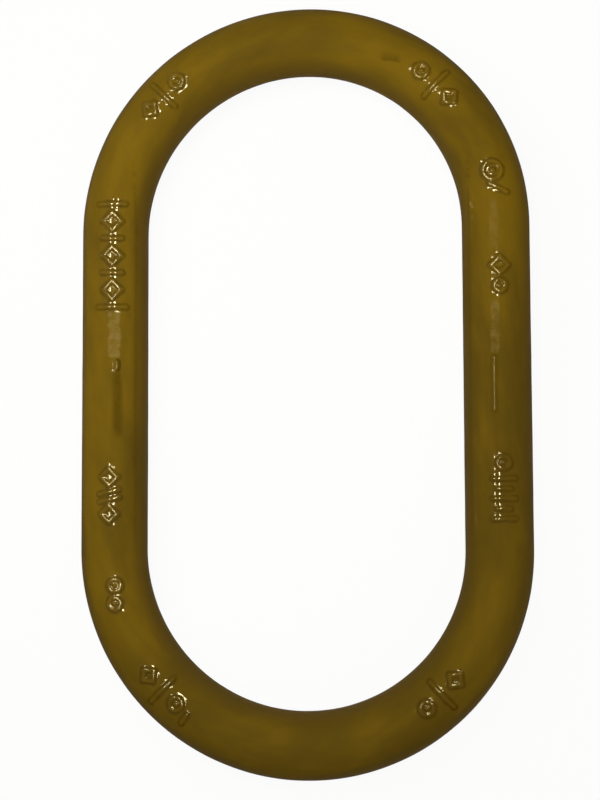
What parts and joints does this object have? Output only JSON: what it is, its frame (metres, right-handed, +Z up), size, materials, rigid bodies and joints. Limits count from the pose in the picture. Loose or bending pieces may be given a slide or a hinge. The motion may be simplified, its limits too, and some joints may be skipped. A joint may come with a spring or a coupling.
{
  "type": "master link",
  "caption": "Oblong forged steel master link of round bar, the top loop of a lifting sling, with raised gauge marks on its shoulders.",
  "frame": {"origin": "centre of the link's footprint, on the surface that it lies on", "axes": "+Y along the link's length, +X across its width, +Z up out of the face with the raised marks"},
  "size_m": [0.1082, 0.1842, 0.0164],
  "materials": {
    "paint": "dark mustard yellow enamel over forged steel, satin, glossier where it pools at the raised marks"
  },
  "bodies": {
    "root": {"link": "paint"}
  },
  "joints": []
}
